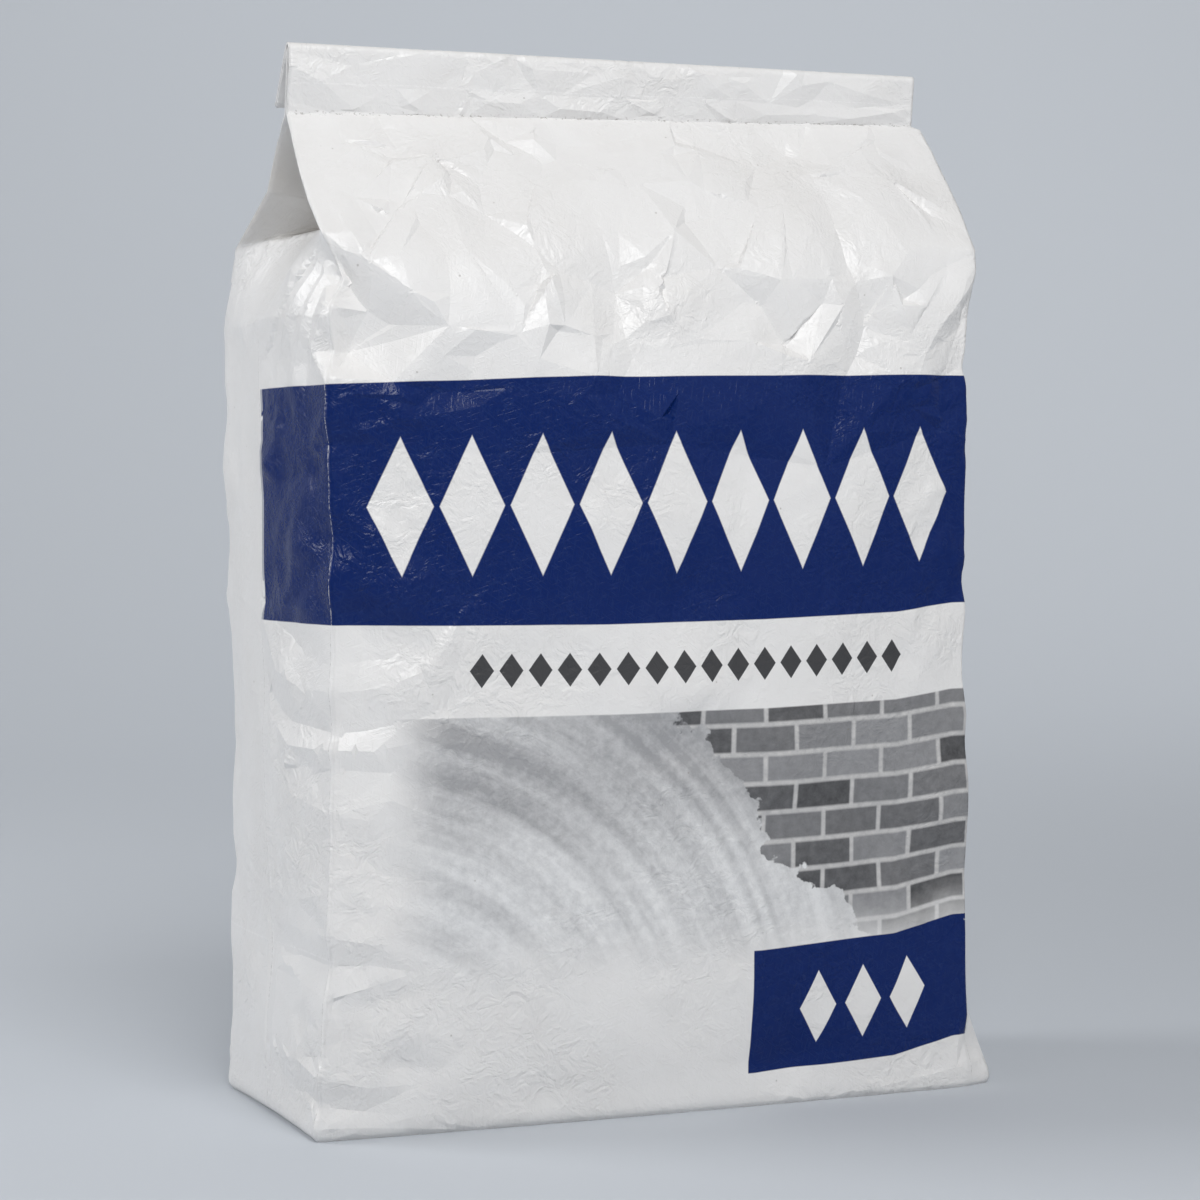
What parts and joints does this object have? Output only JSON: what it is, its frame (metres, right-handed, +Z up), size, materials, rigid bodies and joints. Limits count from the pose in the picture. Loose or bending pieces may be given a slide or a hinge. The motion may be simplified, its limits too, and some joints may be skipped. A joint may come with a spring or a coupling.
{
  "type": "bag of gypsum plaster",
  "caption": "Small upright gusseted paper bag filled with gypsum plaster powder, with a flat block bottom and a gable top pressed flat and folded over.",
  "frame": {"origin": "centre of the bounding box at the floor, where the block bottom rests", "axes": "+Z up, -Y out of the front panel, +X to the right of someone who looks at the front panel"},
  "size_m": [0.1312, 0.0654, 0.1846],
  "materials": {
    "coated_paper": "semi-gloss coated kraft, white",
    "gypsum_powder": "matt white powder"
  },
  "bodies": {
    "root": {"paper_bag": "coated_paper", "plaster_fill": "gypsum_powder"}
  },
  "joints": []
}
